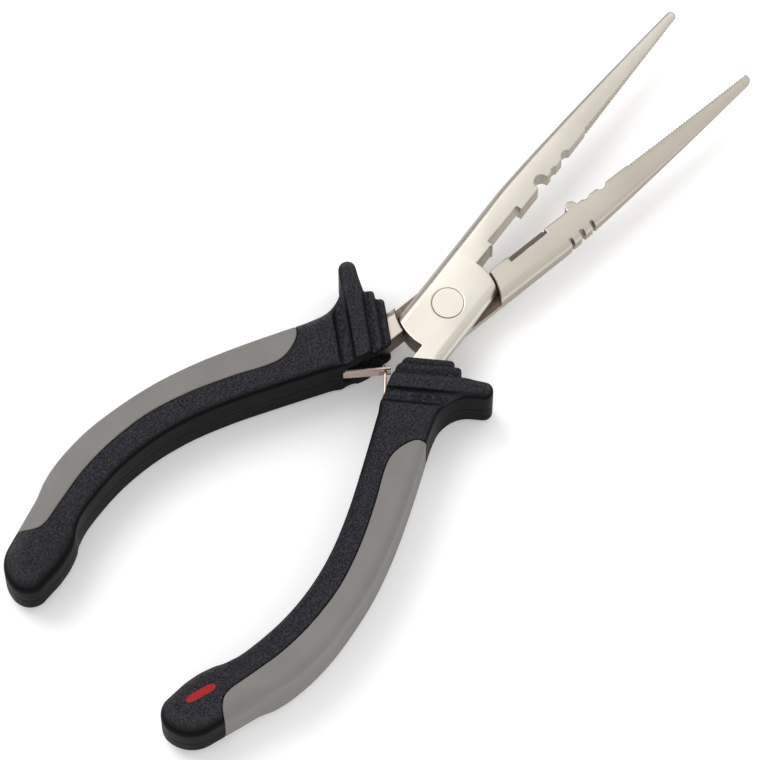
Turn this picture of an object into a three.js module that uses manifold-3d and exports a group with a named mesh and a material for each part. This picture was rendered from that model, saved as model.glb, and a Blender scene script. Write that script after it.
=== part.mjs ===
// Long-nose fishing pliers with a lap joint, moulded two-colour grips and a pair of interlocking leaf springs.
// Millimetres, +X along the closed jaws to their tips, +Y to the left, +Z up along the pivot.
// The origin is the centre of the rivet's underside. The pliers are held open by their springs.
import * as THREE from "three";
import { mergeVertices } from "three/addons/utils/BufferGeometryUtils.js";
import Module from "manifold-3d";

const wasm = await Module();
wasm.setup();

// Overall sizes
const JAW_REACH = 93.4; // pivot to jaw tip
const GRIP_REACH = 123.4; // pivot to the end of a grip
const OPEN_ANGLE = 13.5; // degrees between the jaws at rest

// Steel halves
const STEEL_THICKNESS = 8.4;
const HEAD_HALF_WIDTH = 7.6;
const LAP_RADIUS = 12.25; // edge of each half-thickness plate
const LAP_SIDE_GAP = 0.3; // between a plate's edge and the other half's shoulder
const LAP_FACE_GAP = 0.1; // between the two plates
const JAW_GAP = 0.15; // each jaw's face stands this far off the closing line
const JAW_TAPER_START = 30;
const JAW_TIP_WIDTH = 2.4;
const JAW_TIP_THICKNESS = 2.4;
const JAW_ROOT_THICKNESS = 7.5; // at JAW_TAPER_START
const JAW_MID_THICKNESS = 5.8; // at JAW_MID
const JAW_MID = 50;
const TIP_CORNER = 0.9;
const BACK_ROUNDING = 1.8;
const NECK_INNER = 1.4; // the neck's inner edge, off the closing line
const NECK_START = 11.45; // where the neck's outer side begins to turn out into the handle
const NECK_END = 17.15; // where its inner side does

// Jaw faces, as distances from the pivot
const TEETH_START = 55.5;
const TOOTH_PITCH = 0.8;
const TOOTH_DEPTH = 0.32;
const TIP_FLAT = 0.5; // from the tip to the first tooth
const CRIMP_LARGE = { at: 47.6, half: 1.45, depth: 0.95 };
const CRIMP_SMALL = { at: 42.8, half: 1.0, depth: 0.5 };
const LEAD_NOTCH = { at: 38.5, half: 1.75, depth: 2.15 };
const LEAD_BUMP = { half: 1.5, depth: 1.7 }; // seats in the lead notch
const CUTTER_START = 18.4;
const CUTTER_END = 29.8;
const CUTTER_BEVEL_TOP = 1.75; // bevel's upper edge, off the closing line
const CUTTER_EDGE = 0.9; // the top half's cutting edge is set back, the other's stands proud
const CUTTER_PROUD = 0.62;
const THROAT_SET_BACK = 0.45;
const THROAT_LIP = 0.5; // between the throat and the cutter
const BACK_SLOTS = [33.0, 36.4, 39.7]; // wire slots across the bottom half's back
const BACK_SLOT_WIDTHS = [0.85, 1.2, 0.85];
const BACK_SLOT_DEPTH = 1.6;

// Rivet
const RIVET_SHANK_RADIUS = 2.6;
const RIVET_HEAD_RADIUS = 3.75;
const RIVET_HEAD_DEPTH = 1.5;
const RIVET_CLEARANCE = 0.08;

// Tang inside the grip
const TANG_HALF_WIDTH = 2.7;
const TANG_END = 0.84; // share of the way from the grip's root to its pommel
const TANG_CLEARANCE = 0.25;

// Grips
const GRIP_THICKNESS = 19;
const GRIP_EDGE = 2.6; // rounding between the top face and the walls
const GRIP_ROOT = 21;
const POMMEL_LENGTH = 8.2; // from the middle of the pommel to the end of the grip
const POMMEL_INNER = -6.0;
const POMMEL_WIDTH = 13.4;
const POMMEL_INNER_CORNER = 5; // rounding of its corners, seen from above
const POMMEL_OUTER_CORNER = 8.4;
const POMMEL_TAPER = 22; // degrees its outer side turns in towards the end
const POMMEL_EDGE = 4.4; // rounding between its top face and its walls
const POMMEL_STEP = 0.87; // share of the way to the pommel where the grip steps out to it
const COLLAR_ANGLE = 31; // degrees, the way the grip leaves the head
const COLLAR_FRONT = 14.8; // collar distances are along that direction
const COLLAR_STEP = 1.9; // each step's length
const COLLAR_WALL = 2.5;
const COLLAR_WIDENING = 1.8; // each step stands this much further out than the one before
const COLLAR_RISE = 1.5; // each step is this much higher than the one before
const COLLAR_HALF_HEIGHT = 6;
const COLLAR_EDGE = 0.7;
const HORN_FRONT = 19.4;
const HORN_WIDTH = 5.1;
const HORN_REACH = 12.8; // across, from the pivot's line along the collar
const HORN_TIP_RADIUS = 2.2;
const HORN_EDGE = 1.5;
const HORN_FILLET = 4.5; // the horn runs out this far along the grip's outer wall
const CLOSED_CLEARANCE = 0.35; // grip to closing line when the pliers are shut
const RELIEF_START = 21; // from here the collar's inner side leaves the closing line
const RELIEF_END = 33;
const RELIEF_ANGLE = 14; // degrees
const CHANNEL_END = 29.4; // the channel that shows the tang runs back to here
const CHANNEL_CLEARANCE = 0.4;
const CHANNEL_FRONT_DEPTH = 3.4; // off the closing line
const CHANNEL_NECK_DEPTH = 4.4;
const CHANNEL_RAMP = 5; // its floor follows the tang for this length
const INSERT_WALL = 2.2;
const INSERT_GAP = 0.3;
const INSERT_TAIL = 1.5; // the insert's pointed end leans back by this much

// Leaf springs
const LEAF_THICKNESS = 0.7;
const LEAF_WIDTH = 4.4;
const LEAF_ROOT = [-29.7, -3.4];
const LEAF_MEETING = 21.5; // from the pivot to where the leaves cross
const LEAF_OVERSHOOT = 1.3;
const LEAF_FOOT = 6;
const LEAF_SLOT_CLEARANCE = 0.3;
const FORK_OPENING = 2.4;
const TONGUE_WIDTH = 1.6;
const FORK_BEFORE_CROSSING = 1.3;

const HALF_THICKNESS = STEEL_THICKNESS / 2;
const HALF_OPEN = THREE.MathUtils.degToRad(OPEN_ANGLE / 2);
const FAR = 60; // past everything, for cutting blocks
const ROUND_SEGMENTS = 48;
const BACK_STEPS = 12; // along a jaw's back
const BEYOND = 3; // a cutting shape's reach past what it cuts

const satinSteel = { color: 0xcdc4b8, roughness: 0.35, metalness: 1 };
const springSteel = { color: 0x92837c, roughness: 0.4, metalness: 1 };
const blackRubber = { color: 0x2a2b30, roughness: 0.6, metalness: 0 };
const greyRubber = { color: 0x96938e, roughness: 0.75, metalness: 0 };

// ---- three.js geometry to manifold solids and back ----

function solid(geometry) {
  const bare = geometry.clone();
  bare.deleteAttribute("normal");
  bare.deleteAttribute("uv");
  const merged = mergeVertices(bare, 1e-4);
  return new wasm.Manifold(
    new wasm.Mesh({
      numProp: 3,
      vertProperties: merged.attributes.position.array,
      triVerts: new Uint32Array(merged.index.array),
    }),
  );
}

function namedMesh(name, body, look) {
  const data = body.getMesh();
  const geometry = new THREE.BufferGeometry();
  geometry.setAttribute("position", new THREE.BufferAttribute(data.vertProperties, 3));
  geometry.setIndex(new THREE.BufferAttribute(data.triVerts, 1));
  geometry.computeVertexNormals();
  const mesh = new THREE.Mesh(geometry, new THREE.MeshStandardMaterial(look));
  mesh.name = name;
  return mesh;
}

// A plan shape as a solid from z = bottom to z = top, with its edges rounded by edge.
function slab(shape, bottom, top, edge = 0) {
  const geometry = new THREE.ExtrudeGeometry(shape, {
    depth: top - bottom - 2 * edge,
    bevelEnabled: edge > 0,
    bevelThickness: edge,
    bevelSize: edge,
    bevelOffset: -edge,
    bevelSegments: 3,
    curveSegments: 6,
  });
  geometry.translate(0, 0, bottom + edge);
  return solid(geometry);
}

// A shape drawn in Y and Z, as a solid from x = start to x = end.
function barAlongX(shape, start, end) {
  const geometry = new THREE.ExtrudeGeometry(shape, { depth: end - start, bevelEnabled: false });
  const axes = new THREE.Matrix4().makeBasis(
    new THREE.Vector3(0, 1, 0),
    new THREE.Vector3(0, 0, 1),
    new THREE.Vector3(1, 0, 0),
  );
  geometry.applyMatrix4(axes);
  geometry.translate(start, 0, 0);
  return solid(geometry);
}

// A shape drawn in X and Z, as a solid right across Y.
function barAcross(shape) {
  const geometry = new THREE.ExtrudeGeometry(shape, { depth: 2 * FAR, bevelEnabled: false });
  geometry.rotateX(Math.PI / 2);
  geometry.translate(0, FAR, 0);
  return solid(geometry);
}

function box(low, high) {
  const geometry = new THREE.BoxGeometry(high[0] - low[0], high[1] - low[1], high[2] - low[2]);
  geometry.translate((low[0] + high[0]) / 2, (low[1] + high[1]) / 2, (low[2] + high[2]) / 2);
  return solid(geometry);
}

function disc(radius, bottom, top) {
  const geometry = new THREE.CylinderGeometry(radius, radius, top - bottom, ROUND_SEGMENTS);
  geometry.rotateX(Math.PI / 2);
  geometry.translate(0, 0, (top + bottom) / 2);
  return solid(geometry);
}

const outline = (points) => new THREE.Shape(points.map(([x, y]) => new THREE.Vector2(x, y)));

// Points along a smooth curve through the given ones.
function smooth(points, steps) {
  const curve = new THREE.SplineCurve(points.map(([x, y]) => new THREE.Vector2(x, y)));
  return curve.getPoints(steps).map((p) => [p.x, p.y]);
}

// ---- Steel halves, drawn shut, with the jaw on the +Y side and the handle on the -Y side ----

// Distance of the jaw's back from the closing line.
function jawBack(x) {
  const share = Math.max(0, (x - JAW_TAPER_START) / (JAW_REACH - JAW_TAPER_START));
  return HEAD_HALF_WIDTH - (HEAD_HALF_WIDTH - JAW_TIP_WIDTH) * share ** 1.25;
}

// Points along an arc, from one angle to another.
function arc(x, y, radius, from, to, steps = 8) {
  return Array.from({ length: steps + 1 }, (_, i) => {
    const angle = from + ((to - from) * i) / steps;
    return [x + radius * Math.cos(angle), y + radius * Math.sin(angle)];
  });
}

// A notch or bump on the jaw's face, walked towards the pivot. A positive depth cuts into the jaw.
function faceArc({ at, half, depth }) {
  const size = Math.abs(depth);
  const side = Math.sign(depth);
  const radius = (half * half + size * size) / (2 * size);
  const middle = JAW_GAP + side * (size - radius);
  const start = Math.atan2(JAW_GAP - middle, half);
  return arc(at, middle, radius, start, side * Math.PI - start);
}

// The teeth, from the tip towards the pivot: a flat crest, then a sloping valley.
function teeth() {
  const count = Math.floor((JAW_REACH - TOOTH_PITCH - TEETH_START) / TOOTH_PITCH);
  const points = [];
  for (let i = 0; i < count; i++) {
    const crest = JAW_REACH - TIP_FLAT - TOOTH_PITCH * i;
    points.push([crest, JAW_GAP], [crest - TOOTH_PITCH / 2, JAW_GAP + TOOTH_DEPTH]);
  }
  points.push([TEETH_START, JAW_GAP]);
  return points;
}

// ---- The grip's own lines. Along the grip, 0 is its root and 1 the middle of its pommel ----

const pommelX = POMMEL_LENGTH - GRIP_REACH;
const alongGrip = (share) => -GRIP_ROOT + (pommelX + GRIP_ROOT) * share;
const placed = (points) => points.map(([share, y]) => [alongGrip(share), y]);

const GRIP_INNER_LINE = [
  [0.03, -1.05],
  [0.085, -2.55],
  [0.127, -3.9],
  [0.265, -8.9],
  [0.377, -12.7],
  [0.486, -15.5],
  [0.594, -16.8],
  [0.704, -16.4],
  [0.813, -14.3],
  [0.865, -12.3],
  [0.895, -9.9],
  [0.93, -8.2],
  [0.97, -7.0],
];
const GRIP_OUTER_LINE = [
  [0.95, -21.9],
  [0.905, -23.6],
  [0.813, -27.0],
  [0.704, -28.8],
  [0.594, -28.8],
  [0.486, -27.8],
  [0.377, -25.6],
  [0.265, -22.4],
  [0.159, -18.9],
  [0.096, -16.7],
  [0.05, -15.5],
];
const TANG_LINE = [
  [0.02, -8.0],
  [0.088, -10.3],
  [0.159, -12.4],
  [0.265, -15.7],
  [0.377, -19.1],
  [0.486, -21.6],
  [0.594, -22.7],
  [0.704, -22.2],
  [TANG_END, -19.5],
];
const INSERT_LINE = [
  [0.118, -18.0],
  [0.134, -15.3],
  [0.168, -13.6],
  [0.208, -13.1],
  [0.255, -14.3],
  [0.32, -16.8],
  [0.428, -20.2],
  [0.536, -22.4],
  [0.621, -22.8],
  [0.7, -22.4],
  [0.78, -21.1],
  [0.86, -18.9],
  [0.93, -17.0],
  [0.968, -18.1],
  [0.995, -20.8],
];

// ---- A steel half ----

function plateArcAngle(y) {
  return Math.asin(y / LAP_RADIUS);
}

// The plan of a half: its jaw, its plate over the lap and its tang. jawFace runs from the tip to the lap.
function halfOutline(jawFace) {
  const headEnd = plateArcAngle(HEAD_HALF_WIDTH);
  const neckEnd = plateArcAngle(NECK_INNER);
  const back = Array.from({ length: BACK_STEPS + 1 }, (_, i) => {
    const x = JAW_TAPER_START + ((JAW_REACH - TIP_CORNER - JAW_TAPER_START) * i) / BACK_STEPS;
    return [x, jawBack(x)];
  });
  const cornerY = jawBack(JAW_REACH) - TIP_CORNER;
  const tip = arc(JAW_REACH - TIP_CORNER, cornerY, TIP_CORNER, Math.PI / 2, 0, 4).slice(1);
  const tang = tangEdges(0);
  return outline([
    ...back,
    ...tip,
    [JAW_REACH, JAW_GAP + TOOTH_DEPTH],
    ...jawFace,
    ...arc(0, 0, LAP_RADIUS, plateArcAngle(THROAT_SET_BACK), -headEnd, 10),
    ...tang,
    ...arc(0, 0, LAP_RADIUS, Math.PI + neckEnd, Math.PI - headEnd, 10),
  ]);
}

// The tang's edges, from the neck's outer side round its far end to the neck's inner side.
// margin widens it, for the cavity that holds it.
function tangEdges(margin) {
  const middle = smooth(placed(TANG_LINE), 24);
  const reach = TANG_HALF_WIDTH + margin;
  const outer = middle.map(([x, y]) => [x, y - reach]);
  const inner = middle.map(([x, y]) => [x, y + reach]).reverse();
  const [endX, endY] = middle[middle.length - 1];
  const end = arc(endX, endY, reach, 1.5 * Math.PI, 0.5 * Math.PI, 6).slice(1, -1);
  const neckOuter = [-NECK_START, -HEAD_HALF_WIDTH - margin];
  const neckInner = [-NECK_END, -NECK_INNER + margin];
  return [neckOuter, ...outer, ...end, ...inner, neckInner];
}

// The outer skin of both jaws and the head, with rounded backs, and the way the jaws get thinner.
function steelEnvelope() {
  const back = Array.from({ length: BACK_STEPS + 1 }, (_, i) => {
    const x = JAW_TAPER_START + ((JAW_REACH + BEYOND - JAW_TAPER_START) * i) / BACK_STEPS;
    return [x, jawBack(x)];
  });
  const left = [[-LAP_RADIUS - BEYOND, HEAD_HALF_WIDTH], ...back];
  const right = left.map(([x, y]) => [x, -y]).reverse();
  const rounded = slab(outline([...left, ...right]), -HALF_THICKNESS, HALF_THICKNESS, BACK_ROUNDING);
  const handles = box([-FAR - GRIP_REACH, -FAR, -FAR], [-LAP_RADIUS + BACK_ROUNDING, FAR, FAR]);
  const top = smooth(
    [
      [LAP_RADIUS, HALF_THICKNESS],
      [JAW_TAPER_START, JAW_ROOT_THICKNESS / 2],
      [JAW_MID, JAW_MID_THICKNESS / 2],
      [JAW_REACH, JAW_TIP_THICKNESS / 2],
    ],
    10,
  );
  const upper = [[-FAR - GRIP_REACH, HALF_THICKNESS], ...top];
  const lower = upper.map(([x, z]) => [x, -z]).reverse();
  return rounded.add(handles).intersect(barAcross(outline([...upper, ...lower])));
}

// What the cutter's bevels take away, above and below an edge that stands at edgeY.
function cutterBevels(edgeY) {
  const beyond = HALF_THICKNESS + BEYOND;
  const section = outline([
    [-FAR, -beyond],
    [CUTTER_BEVEL_TOP, -beyond],
    [CUTTER_BEVEL_TOP, -HALF_THICKNESS],
    [edgeY, 0],
    [CUTTER_BEVEL_TOP, HALF_THICKNESS],
    [CUTTER_BEVEL_TOP, beyond],
    [-FAR, beyond],
  ]);
  return barAlongX(section, CUTTER_START, CUTTER_END);
}

// The space that the other half's plate, and the rivet, take up.
function lapAndRivetHole() {
  const otherPlate = disc(LAP_RADIUS + LAP_SIDE_GAP, -HALF_THICKNESS - BEYOND, LAP_FACE_GAP / 2);
  const top = HALF_THICKNESS + BEYOND;
  const hole = disc(RIVET_SHANK_RADIUS + RIVET_CLEARANCE, -top, top);
  const seat = HALF_THICKNESS - RIVET_HEAD_DEPTH - RIVET_CLEARANCE;
  const counterbore = disc(RIVET_HEAD_RADIUS + RIVET_CLEARANCE, seat, top);
  return otherPlate.add(hole).add(counterbore);
}

// The half whose plate is on top: set-back cutting edge and round notch.
function topHalfSteel() {
  const face = [
    ...teeth(),
    ...faceArc(CRIMP_LARGE),
    ...faceArc(CRIMP_SMALL),
    ...faceArc(LEAD_NOTCH),
    [CUTTER_START - THROAT_LIP, JAW_GAP],
    [CUTTER_START - THROAT_LIP, THROAT_SET_BACK],
  ];
  return slab(halfOutline(face), -HALF_THICKNESS, HALF_THICKNESS)
    .intersect(steelEnvelope())
    .subtract(cutterBevels(CUTTER_EDGE))
    .subtract(lapAndRivetHole());
}

// The half whose plate is underneath, drawn the same way up: proud cutting edge, bump and back slots.
function bottomHalfSteel() {
  const face = [
    ...teeth(),
    ...faceArc(CRIMP_LARGE),
    ...faceArc(CRIMP_SMALL),
    ...faceArc({ at: LEAD_NOTCH.at, half: LEAD_BUMP.half, depth: -LEAD_BUMP.depth }),
    [CUTTER_END, JAW_GAP],
    [CUTTER_END, -CUTTER_PROUD],
    [CUTTER_START, -CUTTER_PROUD],
    [CUTTER_START, JAW_GAP],
    [LAP_RADIUS + BEYOND, JAW_GAP],
  ];
  const steel = slab(halfOutline(face), -HALF_THICKNESS, HALF_THICKNESS)
    .intersect(steelEnvelope())
    .subtract(cutterBevels(-CUTTER_PROUD))
    .subtract(lapAndRivetHole());
  return BACK_SLOTS.reduce((body, at, i) => {
    const half = BACK_SLOT_WIDTHS[i] / 2;
    const floor = jawBack(at) - BACK_SLOT_DEPTH;
    return body.subtract(box([at - half, floor, -FAR], [at + half, FAR, FAR]));
  }, steel);
}

function rivet() {
  const top = HALF_THICKNESS;
  const seat = HALF_THICKNESS - RIVET_HEAD_DEPTH;
  const profile = [
    [0, -top],
    [RIVET_HEAD_RADIUS, -top],
    [RIVET_HEAD_RADIUS, -seat],
    [RIVET_SHANK_RADIUS, -seat],
    [RIVET_SHANK_RADIUS, seat],
    [RIVET_HEAD_RADIUS, seat],
    [RIVET_HEAD_RADIUS, top],
    [0, top],
  ].map(([x, y]) => new THREE.Vector2(x, y));
  const geometry = new THREE.LatheGeometry(profile, ROUND_SEGMENTS);
  geometry.rotateX(Math.PI / 2);
  return solid(geometry);
}

// ---- A grip, drawn like the top half: on the -Y side, shut ----

// A point given along the way the grip leaves the head, and across it towards the outside.
const collarAngle = THREE.MathUtils.degToRad(COLLAR_ANGLE);
function collarPoint([along, across]) {
  const x = -Math.cos(collarAngle) * along + Math.sin(collarAngle) * across;
  const y = -Math.sin(collarAngle) * along - Math.cos(collarAngle) * across;
  return [x, y];
}

// The neck's outer corner, measured across the collar.
const neckAcross =
  -Math.sin(collarAngle) * NECK_START + Math.cos(collarAngle) * HEAD_HALF_WIDTH;

// The pommel's plan, carried straight forward past its step.
function pommelOutline(inset) {
  const near = ([x]) => x < alongGrip(POMMEL_STEP) + POMMEL_EDGE;
  const inner = smooth(placed(GRIP_INNER_LINE), 30).filter(near).map(([x, y]) => [x, y - inset]);
  const outer = smooth(placed(GRIP_OUTER_LINE), 30).filter(near).map(([x, y]) => [x, y + inset]);
  const forward = ([x, y]) => [x + 2 * POMMEL_EDGE, y];
  const front = [forward(outer[outer.length - 1]), forward(inner[0])];
  return outline([...inner, ...pommelCorners(inset), ...outer, ...front]);
}

// The pommel's two corners, from its inner side round to its outer side.
function pommelCorners(inset) {
  const innerX = POMMEL_INNER_CORNER - GRIP_REACH;
  const outerX = POMMEL_OUTER_CORNER - GRIP_REACH;
  const innerY = POMMEL_INNER - POMMEL_INNER_CORNER;
  const outerY = POMMEL_INNER - POMMEL_WIDTH + POMMEL_OUTER_CORNER;
  const outerEnd = 1.5 * Math.PI - THREE.MathUtils.degToRad(POMMEL_TAPER);
  return [
    ...arc(innerX, innerY, POMMEL_INNER_CORNER - inset, 0.5 * Math.PI, Math.PI, 6),
    ...arc(outerX, outerY, POMMEL_OUTER_CORNER - inset, Math.PI, outerEnd, 6),
  ];
}

// The grip's plan, with its walls set in by inset.
function gripOutline(inset) {
  const inner = smooth(placed(GRIP_INNER_LINE), 24).map(([x, y]) => [x, y - inset]);
  const outer = smooth(placed(GRIP_OUTER_LINE), 24).map(([x, y]) => [x, y + inset]);
  const pommel = pommelCorners(inset);
  const front = collarPoint([HORN_FRONT + HORN_EDGE / 2, neckAcross + COLLAR_WALL]);
  return outline([...inner, ...pommel, ...outer, front]);
}

function collarBlock(points, halfHeight, edge) {
  return slab(outline(points.map(collarPoint)), -halfHeight, halfHeight, edge);
}

// Two steps towards the head, each bigger than the one before, and the thumb guard's horn.
function collar() {
  const inner = neckAcross - 2 * HEAD_HALF_WIDTH;
  const outer = neckAcross + COLLAR_WALL;
  const hornBack = HORN_FRONT + HORN_WIDTH;
  const step = (index) => {
    const start = COLLAR_FRONT + COLLAR_STEP * index;
    const side = outer + COLLAR_WIDENING * index;
    const corners = [[start, inner], [start, side], [hornBack, side], [hornBack, inner]];
    return collarBlock(corners, COLLAR_HALF_HEIGHT + COLLAR_RISE * index, COLLAR_EDGE);
  };
  const tipMiddle = [HORN_FRONT + HORN_WIDTH / 2, HORN_REACH - HORN_TIP_RADIUS];
  const horn = [
    [HORN_FRONT, inner],
    [HORN_FRONT, outer + COLLAR_WIDENING],
    ...arc(...tipMiddle, HORN_TIP_RADIUS, Math.PI, 0, 8),
    [hornBack, outer + HORN_FILLET / 2],
    [hornBack + HORN_FILLET / 3, outer - HORN_FILLET / 6],
    [hornBack + HORN_FILLET, outer - HORN_FILLET / 2],
    [hornBack + HORN_FILLET, outer - 2 * HORN_FILLET],
    [hornBack, inner],
  ];
  return step(0)
    .add(step(1))
    .add(collarBlock(horn, GRIP_THICKNESS / 2, HORN_EDGE));
}

// Everything beyond the line that the grip keeps to when the pliers are shut, with the collar's relief.
function pastClosingLine() {
  const start = -CLOSED_CLEARANCE;
  const drop = (RELIEF_END - RELIEF_START) * Math.tan(THREE.MathUtils.degToRad(RELIEF_ANGLE));
  const rear = -GRIP_REACH - FAR;
  const plan = outline([
    [FAR, start],
    [FAR, FAR],
    [rear, FAR],
    [rear, start],
    [-RELIEF_END, start],
    [-RELIEF_END, start - drop],
    [-RELIEF_START, start],
  ]);
  return slab(plan, -FAR, FAR);
}

// The region outside the line between the two colours, grown by margin.
function insertRegion(margin) {
  const line = smooth(placed(INSERT_LINE), 34);
  const [firstX] = line[0];
  const [lastX] = line[line.length - 1];
  const grown = line.map(([x, y], i) => {
    const [beforeX, beforeY] = line[Math.max(0, i - 1)];
    const [afterX, afterY] = line[Math.min(line.length - 1, i + 1)];
    const length = Math.hypot(afterX - beforeX, afterY - beforeY);
    return [x + (margin * (afterY - beforeY)) / length, y - (margin * (afterX - beforeX)) / length];
  });
  const outside = [[lastX - INSERT_TAIL - margin, -FAR], [firstX + margin, -FAR]];
  return slab(outline([...grown, ...outside]), -GRIP_THICKNESS, GRIP_THICKNESS);
}

// The grip without its collar, its walls set in by inset. The pommel has rounder edges than the rest.
function gripSlab(inset) {
  const half = GRIP_THICKNESS / 2 - inset;
  const slim = slab(gripOutline(inset), -half, half, Math.max(0, GRIP_EDGE - inset));
  const pommel = slab(pommelOutline(inset), -half, half, Math.max(0, POMMEL_EDGE - inset));
  const behindStep = box([-GRIP_REACH - FAR, -FAR, -FAR], [alongGrip(POMMEL_STEP), FAR, FAR]);
  return slim.subtract(behindStep).add(pommel.intersect(behindStep));
}

function gripInsert() {
  return gripSlab(0).intersect(insertRegion(0)).subtract(gripSlab(INSERT_WALL));
}

function leafDirection() {
  const meetX = -LEAF_MEETING * Math.cos(HALF_OPEN);
  const meetY = LEAF_MEETING * Math.sin(HALF_OPEN);
  const across = meetX - LEAF_ROOT[0];
  const up = meetY - LEAF_ROOT[1];
  return { angle: Math.atan2(up, across), length: Math.hypot(up, across) };
}

// A bar along the leaf's line, from start to end measured from its root.
function leafBar(start, end, thickness, width) {
  const geometry = new THREE.BoxGeometry(end - start, thickness, width);
  geometry.translate((start + end) / 2, 0, 0);
  geometry.rotateZ(leafDirection().angle);
  geometry.translate(LEAF_ROOT[0], LEAF_ROOT[1], 0);
  return solid(geometry);
}

function leafForked() {
  const { length } = leafDirection();
  const forkStart = length - FORK_BEFORE_CROSSING;
  const tip = length + LEAF_OVERSHOOT;
  return leafBar(-LEAF_FOOT, tip, LEAF_THICKNESS, LEAF_WIDTH).subtract(
    leafBar(forkStart, tip + BEYOND, 2 * LEAF_THICKNESS, FORK_OPENING),
  );
}

function leafTongue() {
  const { length } = leafDirection();
  const tongueStart = length - FORK_BEFORE_CROSSING;
  const tip = length + LEAF_OVERSHOOT;
  return leafBar(-LEAF_FOOT, tongueStart, LEAF_THICKNESS, LEAF_WIDTH).add(
    leafBar(tongueStart - LEAF_THICKNESS, tip, LEAF_THICKNESS, TONGUE_WIDTH),
  );
}

// The channel on the collar's inner side, where the tang and the leaf's root show.
function channel() {
  const half = HALF_THICKNESS + CHANNEL_CLEARANCE;
  const plan = outline([
    [-LAP_RADIUS, FAR],
    [-LAP_RADIUS, -CHANNEL_FRONT_DEPTH],
    [-NECK_END, -CHANNEL_NECK_DEPTH],
    [-CHANNEL_END + CHANNEL_RAMP, TANG_LINE[0][1]],
    [-CHANNEL_END, TANG_LINE[1][1]],
    [-CHANNEL_END, FAR],
  ]);
  return slab(plan, -half, half);
}

function tangCavity() {
  const edges = tangEdges(TANG_CLEARANCE);
  const half = HALF_THICKNESS + TANG_CLEARANCE;
  const front = [[0, -NECK_INNER + TANG_CLEARANCE], [0, -HEAD_HALF_WIDTH - TANG_CLEARANCE]];
  return slab(outline([...edges, ...front]), -half, half);
}

function gripBody() {
  const slot = 2 * LEAF_SLOT_CLEARANCE;
  const leafSlot = leafBar(
    -LEAF_FOOT - LEAF_SLOT_CLEARANCE,
    LEAF_THICKNESS,
    LEAF_THICKNESS + slot,
    LEAF_WIDTH + slot,
  );
  const insertSeat = insertRegion(INSERT_GAP).subtract(gripSlab(INSERT_WALL + INSERT_GAP));
  return gripSlab(0)
    .subtract(insertSeat)
    .add(collar())
    .subtract(pastClosingLine())
    .subtract(tangCavity())
    .subtract(channel())
    .subtract(leafSlot);
}

// ---- The assembly ----

const steelTop = namedMesh("plier_half_top", topHalfSteel(), satinSteel);
const steelBottom = namedMesh("plier_half_bottom", bottomHalfSteel(), satinSteel);
const body = gripBody();
const insert = gripInsert();

// Both halves are drawn as the top one. The bottom one is turned over about the X axis.
const topHalf = new THREE.Group();
topHalf.rotation.z = HALF_OPEN;
topHalf.add(
  steelTop,
  namedMesh("pivot_rivet", rivet(), satinSteel),
  namedMesh("right_grip_body", body, blackRubber),
  namedMesh("right_grip_insert", insert, greyRubber),
  namedMesh("leaf_spring_tongue", leafTongue(), springSteel),
);

const bottomHalf = new THREE.Group();
bottomHalf.rotation.set(Math.PI, 0, HALF_OPEN);
bottomHalf.add(
  steelBottom,
  namedMesh("left_grip_body", body, blackRubber),
  namedMesh("left_grip_insert", insert, greyRubber),
  namedMesh("leaf_spring_forked", leafForked(), springSteel),
);

const pliers = new THREE.Group();
pliers.position.z = HALF_THICKNESS;
pliers.add(topHalf, bottomHalf);

export default pliers;
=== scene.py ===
"""Long-nose fishing pliers with two-colour grips, dressed for a studio picture.

Both halves are drawn in millimetres in the top half's own frame: shut, +X to the jaw tips, the jaw on
the +Y side and the handle on the -Y side, Z = 0 at mid thickness. place() then opens a piece, and turns
it over for the bottom half. The grips, and their inserts, are one shape placed twice.
Shapes are signed distances, negative inside, which surface() turns into a closed mesh.
"""

import math

import bpy
import numpy as np
import openvdb as vdb
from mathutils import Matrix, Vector


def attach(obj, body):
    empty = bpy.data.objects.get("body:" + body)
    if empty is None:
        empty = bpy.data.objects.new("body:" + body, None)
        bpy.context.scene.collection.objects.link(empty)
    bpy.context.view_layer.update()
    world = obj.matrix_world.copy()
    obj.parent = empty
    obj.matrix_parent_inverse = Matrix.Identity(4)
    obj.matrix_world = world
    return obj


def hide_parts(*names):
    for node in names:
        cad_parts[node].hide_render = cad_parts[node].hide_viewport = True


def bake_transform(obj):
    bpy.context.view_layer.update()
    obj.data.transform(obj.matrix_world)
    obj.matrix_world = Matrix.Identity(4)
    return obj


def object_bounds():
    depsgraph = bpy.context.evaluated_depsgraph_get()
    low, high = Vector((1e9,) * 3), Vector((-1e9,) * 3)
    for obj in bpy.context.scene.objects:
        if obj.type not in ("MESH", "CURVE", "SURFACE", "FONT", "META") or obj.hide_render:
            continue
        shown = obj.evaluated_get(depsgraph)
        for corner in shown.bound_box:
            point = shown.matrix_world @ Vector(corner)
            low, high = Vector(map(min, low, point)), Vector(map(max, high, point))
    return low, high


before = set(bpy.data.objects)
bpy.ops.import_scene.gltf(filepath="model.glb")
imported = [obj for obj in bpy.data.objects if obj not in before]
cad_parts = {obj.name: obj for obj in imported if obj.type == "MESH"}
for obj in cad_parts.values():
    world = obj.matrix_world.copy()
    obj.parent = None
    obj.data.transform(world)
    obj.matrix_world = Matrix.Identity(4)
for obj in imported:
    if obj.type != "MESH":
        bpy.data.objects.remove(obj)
cad_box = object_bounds()

MM = 0.001

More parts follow.
